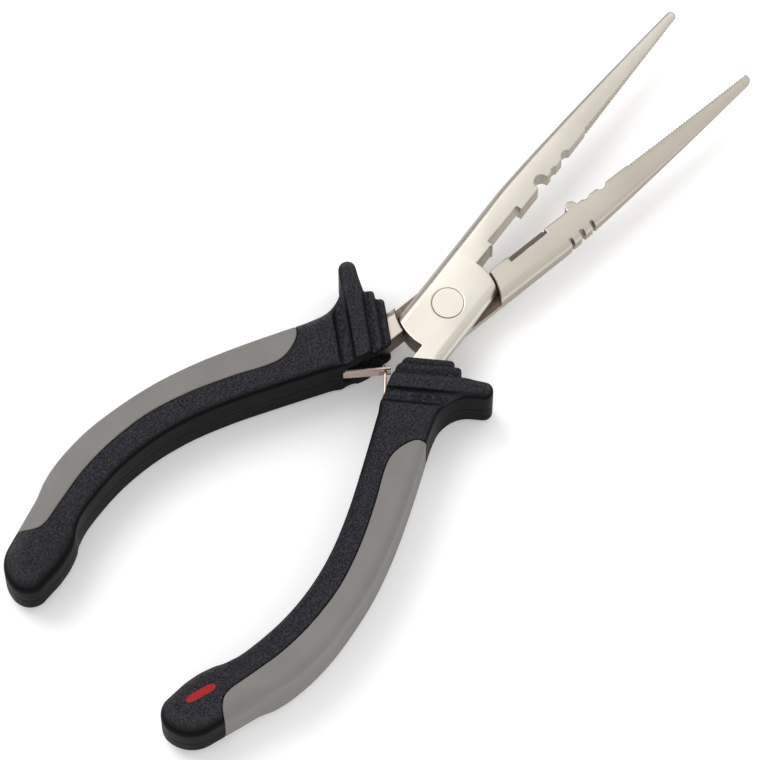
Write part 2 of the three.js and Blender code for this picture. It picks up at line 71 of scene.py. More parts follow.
# Steel halves
JAW_REACH = 93.4
HALF_OPEN = math.radians(13.5 / 2)
HALF_THICKNESS = 4.2
HEAD_HALF_WIDTH = 7.6
LAP_RADIUS = 12.25
LAP_SIDE_GAP = 0.3
LAP_FACE_GAP = 0.1
JAW_GAP = 0.15
JAW_TAPER_START = 30
JAW_TIP_WIDTH = 2.4
JAW_TOP = [  # along the jaw, height of its top face
    (12.25, 4.2), (21, 3.98), (30, 3.62), (40, 3.25), (50, 2.85),
    (60, 2.35), (70, 1.87), (80, 1.48), (JAW_REACH, 1.15),
]
JAW_CROWN = 0.28  # the top face falls this much towards its edges
CROWN_MOST = 1.2  # and at most this many times it
CROWN_RISE = (-8, 4)  # the crown begins and is full
CROWN_SHIFT = (8, 24)  # its middle moves from the head's middle to the jaw's
ROUNDING_POWER = 1.5  # the rounding shrinks faster than the jaw's height
TIP_CORNER = 0.9
BACK_ROUNDING = 2.3
INNER_ROUNDING = 0.12
NECK_INNER = 1.4
NECK_START = 11.45
NECK_END = 17.15
NECK_OVERLAP = 4  # the neck reaches this far in past the lap plate's edge
SHADE_FROM = -34  # walls between these places along X carry painted shade
SHADE_TO = 11

# Jaw faces
TEETH_START = 55.5
TOOTH_PITCH = 0.8
TOOTH_DEPTH = 0.42
TIP_FLAT = 0.5
CRIMP_LARGE = (47.6, 1.45, 0.95)  # where, half its width, its depth
CRIMP_SMALL = (42.8, 1.0, 0.5)
LEAD_NOTCH = (38.5, 1.75, 2.15)
LEAD_BUMP = (38.5, 1.5, -1.7)
CUTTER_START = 18.4
CUTTER_END = 29.8
CUTTER_BEVEL_TOP = 1.75
CUTTER_EDGE = 0.9
CUTTER_PROUD = 0.62
THROAT_SET_BACK = 0.45
THROAT_LIP = 0.5
BACK_SLOTS = [(33.0, 0.85), (36.4, 1.2), (39.7, 0.85)]  # where, its width
BACK_SLOT_DEPTH = 1.6

# Rivet
RIVET_SHANK = 2.6
RIVET_HEAD = 3.75
RIVET_HEAD_DEPTH = 1.5
RIVET_CLEARANCE = 0.05
RIVET_CHAMFER = 0.06

# Tang
TANG_HALF_WIDTH = 2.7
TANG_END = 0.84
TANG_CLEARANCE = 0.25

# Grips
GRIP_REACH = 123.4
GRIP_HALF_HEIGHT = 9.5
GRIP_EDGE = 2.5
GRIP_ROOT = 21
POMMEL_LENGTH = 8.2
POMMEL_INNER = -6.0
POMMEL_WIDTH = 13.4
POMMEL_INNER_CORNER = 5
POMMEL_OUTER_CORNER = 8.4
POMMEL_TAPER = math.radians(22)
POMMEL_EDGE = 5.0
POMMEL_STEP = (-101.5, -106.5)  # over this stretch the edges round off to the pommel's
PARTING_GROOVE = 0.09
PARTING_GROOVE_WIDTH = 0.28
COLLAR_ANGLE = math.radians(31)
COLLAR_SIDE = 3.12
COLLAR_RIDGES = [(14.8, 3.12, 6.0), (16.85, 4.92, 7.5)]  # start along the collar, side, half height
COLLAR_EDGE = 1.1
COLLAR_FILLET = 0.5
FLUTES = [(16.75, 0.5, 6.15), (19.2, 0.6, 7.65)]  # between the ridges: where, radius, height
HORN_FRONT = 19.4
HORN_BACK = 24.5
HORN_LEAN = 0.11  # its front slopes back this much for each millimetre outwards
HORN_TIP_RADIUS = 2.1
HORN_FRONT_EDGE = 0.8
HORN_REACH = 12.8
HORN_FILLET = 6
VALLEY = (25.7, 1.9, 1.7)  # behind the horn: where, half its width, its depth
VALLEY_EDGE = 0.5
FLUTE_EDGE = 0.3
CLOSED_EDGE = 0.5
CLOSED_CLEARANCE = 0.35
RELIEF_START = 21
RELIEF_END = 33
RELIEF_ANGLE = math.radians(14)
CHANNEL_HALF = 4.6
CHANNEL_FLOOR = [(-12.25, -3.4), (-17.15, -4.4), (-24.4, -8.0), (-29.4, -10.3)]
INSERT_WALL = 2.2
INSERT_GAP = 0.12
INSERT_TAIL = 1.5
INSERT_FLOOR_GAP = 0.3
INSERT_EDGE = 0.1

# Leaf springs
LEAF_THICKNESS = 0.7
LEAF_WIDTH = 4.4
LEAF_ROOT = (-29.7, -3.4)
LEAF_MEETING = 21.5
LEAF_OVERSHOOT = 1.3
LEAF_FOOT = 6
LEAF_SLOT_CLEARANCE = 0.3
FORK_OPENING = 2.4
TONGUE_WIDTH = 1.6
FORK_BEFORE_CROSSING = 1.3
LEAF_EDGE = 0.15

# A plain bar on the right pommel
MARK_AT = (-112.8, -12.3)
MARK_TURN = math.radians(-16.7)
MARK_HALF_LENGTH = 3.9
MARK_HALF_WIDTH = 1.0

# Light and camera, in metres
FLOOR_DROP = 0.05 * MM
KEY_LIGHT_AT = (-0.1, 0.6, 0.9)
KEY_LIGHT_SIZE = 0.8
KEY_LIGHT_POWER = 6.2
CAMERA_AT = (-0.3927, -0.34805, 1.41132)
CAMERA_FORWARD = (0.246524, 0.232313, -0.940881)
CAMERA_LENS = 300.2

# Fineness of the meshes
STEEL_STEP = 0.15
GRIP_STEP = 0.25
LEAF_STEP = 0.12

FAR = 60

# ---- Lines along the grip: 0 is its root and 1 the middle of its pommel ----

POMMEL_X = POMMEL_LENGTH - GRIP_REACH
GRIP_INNER_LINE = [
    (0.03, -1.05), (0.085, -2.55), (0.127, -3.9), (0.265, -8.9), (0.377, -12.7), (0.486, -15.5),
    (0.594, -16.8), (0.704, -16.4), (0.813, -14.3), (0.865, -12.3), (0.895, -9.9), (0.93, -8.2),
    (0.97, -7.0),
]
GRIP_OUTER_LINE = [
    (0.95, -21.9), (0.905, -23.6), (0.813, -27.0), (0.704, -28.8), (0.594, -28.8), (0.486, -27.8),
    (0.377, -25.6), (0.265, -22.4), (0.159, -18.9), (0.096, -16.7), (0.05, -15.5),
]
TANG_LINE = [
    (0.02, -8.0), (0.088, -10.3), (0.159, -12.4), (0.265, -15.7), (0.377, -19.1), (0.486, -21.6),
    (0.594, -22.7), (0.704, -22.2), (TANG_END, -19.5),
]
INSERT_LINE = [
    (0.118, -18.0), (0.134, -15.3), (0.168, -13.6), (0.208, -13.1), (0.255, -14.3), (0.32, -16.8),
    (0.428, -20.2), (0.536, -22.4), (0.621, -22.8), (0.7, -22.4), (0.78, -21.1), (0.86, -18.9),
    (0.93, -17.0), (0.968, -18.1), (0.995, -20.8),
]


def along_grip(points):
    return [(-GRIP_ROOT + (POMMEL_X + GRIP_ROOT) * share, y) for share, y in points]


def smooth(points, each=8):
    """Points along a smooth curve through the given ones, `each` to a stretch."""
    p = np.array([points[0], *points, points[-1]], float)
    out = []
    for a, b, c, d in zip(p, p[1:], p[2:], p[3:]):
        for t in np.arange(each) / each:
            slope, bend, twist = c - a, 2 * a - 5 * b + 4 * c - d, 3 * b - a - 3 * c + d
            out.append(0.5 * (2 * b + slope * t + bend * t**2 + twist * t**3))
    return [tuple(q) for q in out] + [tuple(p[-1])]


def arc(x, y, radius, start, end, steps=16):
    angles = np.linspace(start, end, steps + 1)
    return [(x + radius * math.cos(a), y + radius * math.sin(a)) for a in angles]


# ---- Signed distances ----


def plan_distance(x, y, outline):
    """Distance from (x, y) to a closed outline, negative inside it."""
    nearest = np.full(np.broadcast(x, y).shape, np.inf)
    inside = np.zeros(nearest.shape, bool)
    for (ax, ay), (bx, by) in zip(outline, [*outline[1:], outline[0]]):
        ex, ey = bx - ax, by - ay
        length = max(ex * ex + ey * ey, 1e-12)
        px, py = x - ax, y - ay
        t = np.clip((px * ex + py * ey) / length, 0, 1)
        nearest = np.minimum(nearest, (px - ex * t) ** 2 + (py - ey * t) ** 2)
        if ey:
            inside ^= ((ay > y) != (by > y)) & (px < ex * py / ey)
    return np.where(inside, -1, 1) * np.sqrt(nearest)


def meet(a, b, radius):
    """Inside both a and b, with the edge between them rounded."""
    a, b = a + radius, b + radius
    return np.minimum(np.maximum(a, b), 0) + np.hypot(np.maximum(a, 0), np.maximum(b, 0)) - radius


def join(a, b, radius):
    """Inside either a or b, with a fillet between them."""
    reach = np.hypot(np.maximum(radius - a, 0), np.maximum(radius - b, 0))
    return np.maximum(radius, np.minimum(a, b)) - reach


def cut(body, tool):
    return np.maximum(body, -tool)


def ease(x, start, end):
    """0 before start, 1 after end, and smooth between."""
    t = np.clip((x - start) / (end - start), 0, 1)
    return t * t * (3 - 2 * t)


def surface(distance, blocks, step):
    """The closed surface where distance(x, y, z) is 0. It is worked out inside the blocks only."""
    grid = vdb.FloatGrid(background=3 * step)
    for low, high in blocks:
        first = [math.floor(v / step) for v in low]
        last = [math.ceil(v / step) for v in high]
        x, y, z = (np.arange(a, b + 1) * step for a, b in zip(first, last))
        field = distance(x[:, None, None], y[None, :, None], z[None, None, :])
        field = np.clip(field, -3 * step, 3 * step).astype(np.float32)
        grid.copyFromArray(np.ascontiguousarray(field), ijk=first)
    points, quads = grid.convertToQuads(0.0)
    return points.astype(float) * step, quads


# ---- Steel half ----


def jaw_back(x):
    share = np.maximum(0, (x - JAW_TAPER_START) / (JAW_REACH - JAW_TAPER_START))
    return HEAD_HALF_WIDTH - (HEAD_HALF_WIDTH - JAW_TIP_WIDTH) * share**1.25


def jaw_top(x):
    xs, zs = zip(*smooth(JAW_TOP))
    return np.interp(x, xs, zs)


def face_arc(at, half, depth):
    """A notch in the jaw's face, or a bump on it, walked towards the pivot."""
    size, side = abs(depth), math.copysign(1, depth)
    radius = (half * half + size * size) / (2 * size)
    middle = JAW_GAP + side * (size - radius)
    start = math.atan2(JAW_GAP - middle, half)
    return arc(at, middle, radius, start, side * math.pi - start)


def teeth():
    count = int((JAW_REACH - TOOTH_PITCH - TEETH_START) / TOOTH_PITCH)
    points = []
    for i in range(count):
        crest = JAW_REACH - TIP_FLAT - TOOTH_PITCH * i
        points += [(crest, JAW_GAP), (crest - TOOTH_PITCH / 2, JAW_GAP + TOOTH_DEPTH)]
    return points + [(TEETH_START, JAW_GAP)]


def tang_edges(margin):
    middle = smooth(along_grip(TANG_LINE), 4)
    reach = TANG_HALF_WIDTH + margin
    end = arc(*middle[-1], reach, 1.5 * math.pi, 0.5 * math.pi)[1:-1]
    return [
        (-NECK_START, -HEAD_HALF_WIDTH - margin),
        *[(x, y - reach) for x, y in middle],
        *end,
        *[(x, y + reach) for x, y in reversed(middle)],
        (-NECK_END, -NECK_INNER + margin),
    ]


def half_outline(face):
    """The plan of a half: jaw, plate over the lap, neck and tang."""

    def plate(y):
        return math.asin(y / LAP_RADIUS)

    back = [(x, jaw_back(x)) for x in np.linspace(JAW_TAPER_START, JAW_REACH - TIP_CORNER, 24)]
    tip = arc(JAW_REACH - TIP_CORNER, jaw_back(JAW_REACH) - TIP_CORNER, TIP_CORNER, math.pi / 2, 0)
    return [
        *back,
        *tip[1:],
        (JAW_REACH, JAW_GAP + TOOTH_DEPTH),
        *face,
        *arc(0, 0, LAP_RADIUS, plate(THROAT_SET_BACK), -plate(HEAD_HALF_WIDTH), 24),
        *tang_edges(0),
        *arc(0, 0, LAP_RADIUS, math.pi + plate(NECK_INNER), math.pi - plate(HEAD_HALF_WIDTH), 24),
    ]


TOP_FACE = [
    *teeth(),
    *face_arc(*CRIMP_LARGE),
    *face_arc(*CRIMP_SMALL),
    *face_arc(*LEAD_NOTCH),
    (CUTTER_START - THROAT_LIP, JAW_GAP),
    (CUTTER_START - THROAT_LIP, THROAT_SET_BACK),
]
BOTTOM_FACE = [
    *teeth(),
    *face_arc(*CRIMP_LARGE),
    *face_arc(*CRIMP_SMALL),
    *face_arc(*LEAD_BUMP),
    (CUTTER_END, JAW_GAP),
    (CUTTER_END, -CUTTER_PROUD),
    (CUTTER_START, -CUTTER_PROUD),
    (CUTTER_START, JAW_GAP),
    (LAP_RADIUS + 3, JAW_GAP),
]


def steel_distance(face, cutter_edge, slots):
    """The distance to one half, from its jaw's face, its cutter's edge and the slots in its back."""
    outline = half_outline(face)
    tang = [*tang_edges(0), (0, -NECK_INNER), (0, -HEAD_HALF_WIDTH)]
    bevel = (CUTTER_BEVEL_TOP - cutter_edge) / HALF_THICKNESS
    bevel_cosine = 1 / math.hypot(1, bevel)

    def distance(x, y, z):
        height = jaw_top(x)
        middle = jaw_back(x) / 2 * ease(x, *CROWN_SHIFT)
        reach = jaw_back(x) - middle
        crown = JAW_CROWN * np.minimum(CROWN_MOST, ((y - middle) / reach) ** 2) * ease(x, *CROWN_RISE)
        lid = np.abs(z) - height + crown
        rounding = BACK_ROUNDING * (height / HALF_THICKNESS) ** ROUNDING_POWER
        skin = meet(np.abs(y) - jaw_back(x), lid, rounding)
        neck = meet(plan_distance(x, y, tang), np.abs(z) - HALF_THICKNESS, BACK_ROUNDING)
        neck = np.maximum(neck, x + LAP_RADIUS - NECK_OVERLAP)
        plan = meet(plan_distance(x, y, outline), lid, INNER_ROUNDING)
        body = np.maximum(np.minimum(skin, neck), plan)
        off_edge = (y - cutter_edge - bevel * np.abs(z)) * bevel_cosine
        ends = np.abs(x - (CUTTER_START + CUTTER_END) / 2) - (CUTTER_END - CUTTER_START) / 2
        body = cut(body, np.maximum(off_edge, ends))
        from_pivot = np.hypot(x, y)
        body = cut(body, np.maximum(from_pivot - LAP_RADIUS - LAP_SIDE_GAP, z - LAP_FACE_GAP / 2))
        body = cut(body, from_pivot - RIVET_SHANK - RIVET_CLEARANCE)
        seat = HALF_THICKNESS - RIVET_HEAD_DEPTH - RIVET_CLEARANCE
        body = cut(body, np.maximum(from_pivot - RIVET_HEAD - RIVET_CLEARANCE, seat - z))
        for at, width in slots:
            floor = float(jaw_back(at)) - BACK_SLOT_DEPTH + width / 2
            below = np.minimum(y - floor, 0)
            body = cut(body, np.hypot(x - at, below) - width / 2)
        return body

    return distance


STEEL_BLOCKS = [
    ((-30, -16, -5), (JAW_REACH + 1, HEAD_HALF_WIDTH + 1, 5)),
    ((-104, -27, -5), (-30, -6, 5)),
]

# ---- Grip ----


def grip_outline():
    inner_x = POMMEL_INNER_CORNER - GRIP_REACH
    outer_x = POMMEL_OUTER_CORNER - GRIP_REACH
    inner_y = POMMEL_INNER - POMMEL_INNER_CORNER
    outer_y = POMMEL_INNER - POMMEL_WIDTH + POMMEL_OUTER_CORNER
    ahead = [collar_point(HORN_FRONT, COLLAR_SIDE), collar_point(12, COLLAR_SIDE)]
    return [
        *smooth(along_grip(GRIP_INNER_LINE), 6),
        *arc(inner_x, inner_y, POMMEL_INNER_CORNER, math.pi / 2, math.pi)[:-1],
        *arc(outer_x, outer_y, POMMEL_OUTER_CORNER, math.pi, 1.5 * math.pi - POMMEL_TAPER),
        *smooth(along_grip(GRIP_OUTER_LINE), 6),
        *ahead,
        (-12, 0),
    ]


def collar_point(along, across):
    c, s = math.cos(COLLAR_ANGLE), math.sin(COLLAR_ANGLE)
    return (-c * along + s * across, -s * along - c * across)


def slab_distance(x, y, z):
    """The grip with its horn, without the ridges towards the head."""
    c, s = math.cos(COLLAR_ANGLE), math.sin(COLLAR_ANGLE)
    along, across = -c * x - s * y, s * x - c * y
    front = HORN_FRONT + HORN_LEAN * np.maximum(0, across - COLLAR_RIDGES[-1][1]) - along
    horn = meet(np.maximum(front, along - HORN_BACK), across - HORN_REACH, HORN_TIP_RADIUS)
    plan = join(plan_distance(x, y, grip_outline()), horn, HORN_FILLET)
    plan = meet(plan, front, HORN_FRONT_EDGE)
    edge = GRIP_EDGE + (POMMEL_EDGE - GRIP_EDGE) * ease(-x, -POMMEL_STEP[0], -POMMEL_STEP[1])
    body = meet(plan, np.abs(z) - GRIP_HALF_HEIGHT, edge)
    at, half, depth = VALLEY
    radius = (half * half + depth * depth) / (2 * depth)
    valley = np.hypot(along - at, np.abs(z) - GRIP_HALF_HEIGHT + depth - radius) - radius
    body = meet(body, -valley, VALLEY_EDGE)
    return body + PARTING_GROOVE * np.exp(-((z / PARTING_GROOVE_WIDTH) ** 2))


def collar_distance(x, y, z):
    c, s = math.cos(COLLAR_ANGLE), math.sin(COLLAR_ANGLE)
    along, across = -c * x - s * y, s * x - c * y
    body = None
    for start, side, height in COLLAR_RIDGES:
        ridge = meet(meet(start - along, across - side, COLLAR_EDGE), np.abs(z) - height, COLLAR_EDGE)
        ridge = np.maximum(ridge, along - (HORN_FRONT + HORN_BACK) / 2)
        body = ridge if body is None else join(body, ridge, COLLAR_FILLET)
    return body


def flutes(x, y, z):
    """Round hollows that part the ridges from each other and from the horn."""
    c, s = math.cos(COLLAR_ANGLE), math.sin(COLLAR_ANGLE)
    along = -c * x - s * y
    return np.minimum.reduce([np.hypot(along - at, np.abs(z) - height) - r for at, r, height in FLUTES])


def past_closing_line():
    start = -CLOSED_CLEARANCE
    drop = (RELIEF_END - RELIEF_START) * math.tan(RELIEF_ANGLE)
    rear = -GRIP_REACH - FAR
    return [
        (FAR, start), (FAR, FAR), (rear, FAR), (rear, start),
        (-RELIEF_END, start), (-RELIEF_END, start - drop), (-RELIEF_START, start),
    ]


def insert_region():
    line = smooth(along_grip(INSERT_LINE), 6)
    return [*line, (line[-1][0] - INSERT_TAIL, -FAR), (line[0][0], -FAR)]


def tang_cavity(x, y, z):
    outline = [*tang_edges(TANG_CLEARANCE), (0, -NECK_INNER), (0, -HEAD_HALF_WIDTH - TANG_CLEARANCE)]
    return np.maximum(plan_distance(x, y, outline), np.abs(z) - HALF_THICKNESS - TANG_CLEARANCE)


def leaf_line():
    meet_x, meet_y = -LEAF_MEETING * math.cos(HALF_OPEN), LEAF_MEETING * math.sin(HALF_OPEN)
    run, rise = meet_x - LEAF_ROOT[0], meet_y - LEAF_ROOT[1]
    return math.atan2(rise, run), math.hypot(run, rise)


def leaf_slot(x, y, z):
    angle, _ = leaf_line()
    c, s = math.cos(angle), math.sin(angle)
    px, py = x - LEAF_ROOT[0], y - LEAF_ROOT[1]
    along, across = c * px + s * py, c * py - s * px
    half = LEAF_THICKNESS / 2 + LEAF_SLOT_CLEARANCE
    ends = np.maximum(-LEAF_FOOT - LEAF_SLOT_CLEARANCE - along, along - 1)
    sides = np.abs(z) - LEAF_WIDTH / 2 - LEAF_SLOT_CLEARANCE
    return np.maximum(np.maximum(np.abs(across) - half, sides), ends)


def grip_distance(x, y, z):
    slab = slab_distance(x, y, z)
    seat_floor = slab + INSERT_WALL + INSERT_FLOOR_GAP
    seat = np.maximum(plan_distance(x, y, insert_region()) - INSERT_GAP, -seat_floor)
    body = cut(join(slab, collar_distance(x, y, z), COLLAR_FILLET), seat)
    body = meet(body, -flutes(x, y, z), FLUTE_EDGE)
    body = meet(body, -plan_distance(x, y, past_closing_line()), CLOSED_EDGE)
    body = cut(body, tang_cavity(x, y, z))
    channel = plan_distance(x, y, [(-12.25, FAR), *CHANNEL_FLOOR, (CHANNEL_FLOOR[-1][0], FAR)])
    body = cut(body, np.maximum(channel, np.abs(z) - CHANNEL_HALF))
    return cut(body, leaf_slot(x, y, z))


def insert_distance(x, y, z):
    slab = slab_distance(x, y, z)
    shell = np.maximum(slab, -(slab + INSERT_WALL))
    body = meet(shell, plan_distance(x, y, insert_region()), INSERT_EDGE)
    return cut(body, tang_cavity(x, y, z))


GRIP_BLOCKS = [
    ((-62, -30, -10), (-11, 1, 10)),
    ((-GRIP_REACH - 1, -30, -10), (-62, -4, 10)),
]

# ---- Leaf springs, drawn along their own length from the root ----


def leaf_distance(forked):
    _, length = leaf_line()
    start = length - FORK_BEFORE_CROSSING
    tip = length + LEAF_OVERSHOOT

    def distance(x, y, z):
        ends = np.maximum(-LEAF_FOOT - x, x - tip)
        if forked:
            sides = np.abs(z) - LEAF_WIDTH / 2
            opening = np.maximum(np.abs(z) - FORK_OPENING / 2, start - x)
            sides = cut(sides, opening)
        else:
            wide = np.maximum(np.abs(z) - LEAF_WIDTH / 2, x - start)
            sides = np.minimum(wide, np.abs(z) - TONGUE_WIDTH / 2)
        return meet(np.maximum(sides, ends), np.abs(y) - LEAF_THICKNESS / 2, LEAF_EDGE)

    return distance


def from_leaf(points):
    angle, _ = leaf_line()
    c, s = math.cos(angle), math.sin(angle)
    x, y, z = points.T
    return np.stack([c * x - s * y + LEAF_ROOT[0], s * x + c * y + LEAF_ROOT[1], z], 1)


# ---- Meshes in the frame ----


def place(points, half):
    """From a half's own frame, in millimetres, to where it is at rest, in metres."""
    c, s = math.cos(HALF_OPEN), math.sin(HALF_OPEN)
    x, y, z = points.T
    x, y = c * x - s * y, s * x + c * y
    if half == "bottom":
        y, z = -y, -z
    return np.stack([x, y, z + HALF_THICKNESS], 1) * MM


def piece(name, points, faces, half, material):
    mesh = bpy.data.meshes.new(name)
    mesh.vertices.add(len(points))
    mesh.vertices.foreach_set("co", place(points, half).astype(np.float32).ravel())
    sides = faces.shape[1]
    mesh.loops.add(faces.size)
    mesh.loops.foreach_set("vertex_index", faces.astype(np.int32).ravel())
    mesh.polygons.add(len(faces))
    mesh.polygons.foreach_set("loop_start", np.arange(0, faces.size, sides, dtype=np.int32))
    mesh.update(calc_edges=True)
    mesh.shade_smooth()
    mesh.materials.append(material)
    thing = bpy.data.objects.new(name, mesh)
    bpy.context.scene.collection.objects.link(thing)
    return thing


# ---- Materials ----


def new_material(name):
    material = bpy.data.materials.new(name)
    material.use_nodes = True
    tree = material.node_tree
    return material, tree, tree.nodes["Principled BSDF"]


def link(tree, source, target):
    tree.links.new(source, target)


def noise(tree, scale, detail=4, stretch=(1, 1, 1), turn=0.0):
    """Noise in the object's own space, with features about 1/scale metres across."""
    place_node = tree.nodes.new("ShaderNodeTexCoord")
    mapping = tree.nodes.new("ShaderNodeMapping")
    mapping.inputs["Rotation"].default_value = (0, 0, turn)
    mapping.inputs["Scale"].default_value = stretch
    texture = tree.nodes.new("ShaderNodeTexNoise")
    texture.inputs["Scale"].default_value = scale
    texture.inputs["Detail"].default_value = detail
    link(tree, place_node.outputs["Object"], mapping.inputs["Vector"])
    link(tree, mapping.outputs["Vector"], texture.inputs["Vector"])
    return texture.outputs["Fac"]


def spread(tree, value, low, high, start=0.3, end=0.7):
    """value from start to end, as a number from low to high."""
    node = tree.nodes.new("ShaderNodeMapRange")
    node.inputs["From Min"].default_value = start
    node.inputs["From Max"].default_value = end
    node.inputs["To Min"].default_value = low
    node.inputs["To Max"].default_value = high
    link(tree, value, node.inputs["Value"])
    return node.outputs["Result"]


def blend_colour(tree, share, first, second):
    node = tree.nodes.new("ShaderNodeMix")
    node.data_type = "RGBA"
    link(tree, share, node.inputs["Factor"])
    for socket, colour in ((node.inputs["A"], first), (node.inputs["B"], second)):
        if isinstance(colour, tuple):
            socket.default_value = (*colour, 1)
        else:
            link(tree, colour, socket)
    return node.outputs["Result"]


def arithmetic(tree, operation, a, b):
    node = tree.nodes.new("ShaderNodeMath")
    node.operation = operation
    for socket, value in ((node.inputs[0], a), (node.inputs[1], b)):
        if isinstance(value, (int, float)):
            socket.default_value = value
        else:
            link(tree, value, socket)
    return node.outputs["Value"]


def bump(tree, height, distance, strength):
    node = tree.nodes.new("ShaderNodeBump")
    node.inputs["Distance"].default_value = distance
    if isinstance(strength, (int, float)):
        node.inputs["Strength"].default_value = strength
    else:
        link(tree, strength, node.inputs["Strength"])
    link(tree, height, node.inputs["Height"])
    return node.outputs["Normal"]


def facing(tree, axis):
    """How far the surface faces along +axis, from -1 to 1."""
    geometry = tree.nodes.new("ShaderNodeNewGeometry")
    split = tree.nodes.new("ShaderNodeSeparateXYZ")
    link(tree, geometry.outputs["Normal"], split.inputs["Vector"])
    return split.outputs[axis]


def upward(tree):
    """How squarely the surface lies flat: 0 on a wall, 1 on a top or an underside."""
    return arithmetic(tree, "ABSOLUTE", facing(tree, "Z"), 0.0)


def steel(name, turn, dark_face, light_face, wall):
    """Satin steel with a fine blasted grain. Its walls take a darker colour of their own as painted shade,
    and what faces +Y is blended darker as painted shade too.
    """
    material, tree, shader = new_material(name)
    grain = noise(tree, 5200, 3, (0.45, 1, 1), turn)
    cloudy = noise(tree, 70, 3)
    face = blend_colour(tree, spread(tree, cloudy, 0, 1), dark_face, light_face)
    # painted shade: the walls take the wall colour, darker than the faces
    top = spread(tree, upward(tree), 0, 1, 0.02, 0.35)
    walls_shaded = blend_colour(tree, top, wall, face)
    # painted shade: what faces +Y is blended towards a dark colour
    shade = spread(tree, facing(tree, "Y"), 0, 0.85, 0.15, 0.95)
    link(tree, blend_colour(tree, shade, walls_shaded, (0.27, 0.23, 0.19)), shader.inputs["Base Color"])
    link(tree, spread(tree, grain, 0.33, 0.43), shader.inputs["Roughness"])
    link(tree, bump(tree, grain, 0.00004, 0.45), shader.inputs["Normal"])
    shader.inputs["Metallic"].default_value = 1
    return material


def painted_shade_steel(name):
    """Dark, rougher steel for painted shade on the walls at the lap and neck, and for a painted dark
    reflection on the bottom cutter's bevel.
    """
    material, tree, shader = new_material(name)
    streaks = noise(tree, 900, 4, (1, 1, 0.3))
    colour = blend_colour(tree, spread(tree, streaks, 0, 1), (0.13, 0.095, 0.075), (0.24, 0.18, 0.15))
    link(tree, colour, shader.inputs["Base Color"])
    link(tree, spread(tree, streaks, 0.45, 0.6), shader.inputs["Roughness"])
    link(tree, bump(tree, streaks, 0.00004, 0.4), shader.inputs["Normal"])
    shader.inputs["Metallic"].default_value = 0.9
    return material


def paint_shaded_faces(thing, shape, whole_bevel):
    """Gives the dark steel, as painted shade, to the walls at the lap and neck and to the faces under the
    lap, and as a painted dark reflection to the cutter's bevel if whole_bevel is true.
    """
    points, faces = shape
    corners = points[faces]
    middle = corners.mean(1)
    normal = np.cross(corners[:, 2] - corners[:, 0], corners[:, 3] - corners[:, 1])
    normal /= np.maximum(np.linalg.norm(normal, axis=1, keepdims=True), 1e-9)
    x, y, z = middle.T
    wall = np.abs(normal[:, 2]) < 0.5
    under_lap = (z < LAP_FACE_GAP) & (np.hypot(x, y) < LAP_RADIUS + 2 * LAP_SIDE_GAP)
    lap_wall = wall & (x > SHADE_FROM) & (x < SHADE_TO) & (np.abs(y) < HEAD_HALF_WIDTH - 1.2)
    neck_wall = wall & (x < 0) & (normal[:, 1] > 0.4) & (y < -NECK_INNER + 1)
    # these faces take the painted shade
    shaded_faces = lap_wall | neck_wall | under_lap
    if whole_bevel:
        along_cutter = (x > CUTTER_START) & (x < CUTTER_END)
        shaded_faces |= along_cutter & (y < CUTTER_BEVEL_TOP) & (np.abs(normal[:, 2]) < 0.9)
    thing.data.materials.append(painted_shade_look)
    thing.data.polygons.foreach_set("material_index", shaded_faces.astype(np.int32))


def spring_steel():
    """Copper-toned spring strip, lighter and brighter in patches."""
    material, tree, shader = new_material("spring_strip")
    streaks = noise(tree, 1500, 4, (0.3, 1, 1))
    colour = blend_colour(tree, spread(tree, streaks, 0, 1), (0.50, 0.38, 0.33), (0.64, 0.51, 0.45))
    link(tree, colour, shader.inputs["Base Color"])
    link(tree, spread(tree, streaks, 0.28, 0.42), shader.inputs["Roughness"])
    link(tree, bump(tree, streaks, 0.00002, 0.3), shader.inputs["Normal"])
    shader.inputs["Metallic"].default_value = 1
    return material


def black_rubber(name, marked=False):
    """Moulded rubber: leather grain on what faces up; smooth walls, darker as painted shade and with weaker
    reflections.
    """
    material, tree, shader = new_material(name)
    grain = noise(tree, 2200, 2)
    patches = noise(tree, 120, 3)
    flat = spread(tree, upward(tree), 0, 1, 0.5, 0.97)
    crests = spread(tree, grain, 0, 1, 0.4, 0.65)
    face = blend_colour(tree, crests, (0.0005, 0.0005, 0.001), (0.032, 0.032, 0.047))
    # painted shade: walls get a darker colour than the flat faces
    colour = blend_colour(tree, flat, (0.0075, 0.007, 0.007), face)
    if marked:
        colour = blend_colour(tree, mark_mask(tree), colour, (0.42, 0.015, 0.015))
    link(tree, colour, shader.inputs["Base Color"])
    link(tree, spread(tree, patches, 0.32, 0.4), shader.inputs["Roughness"])
    link(tree, spread(tree, flat, 0.008, 0.38, 0, 1), shader.inputs["Specular IOR Level"])
    link(tree, bump(tree, grain, 0.0009, flat), shader.inputs["Normal"])
    return material


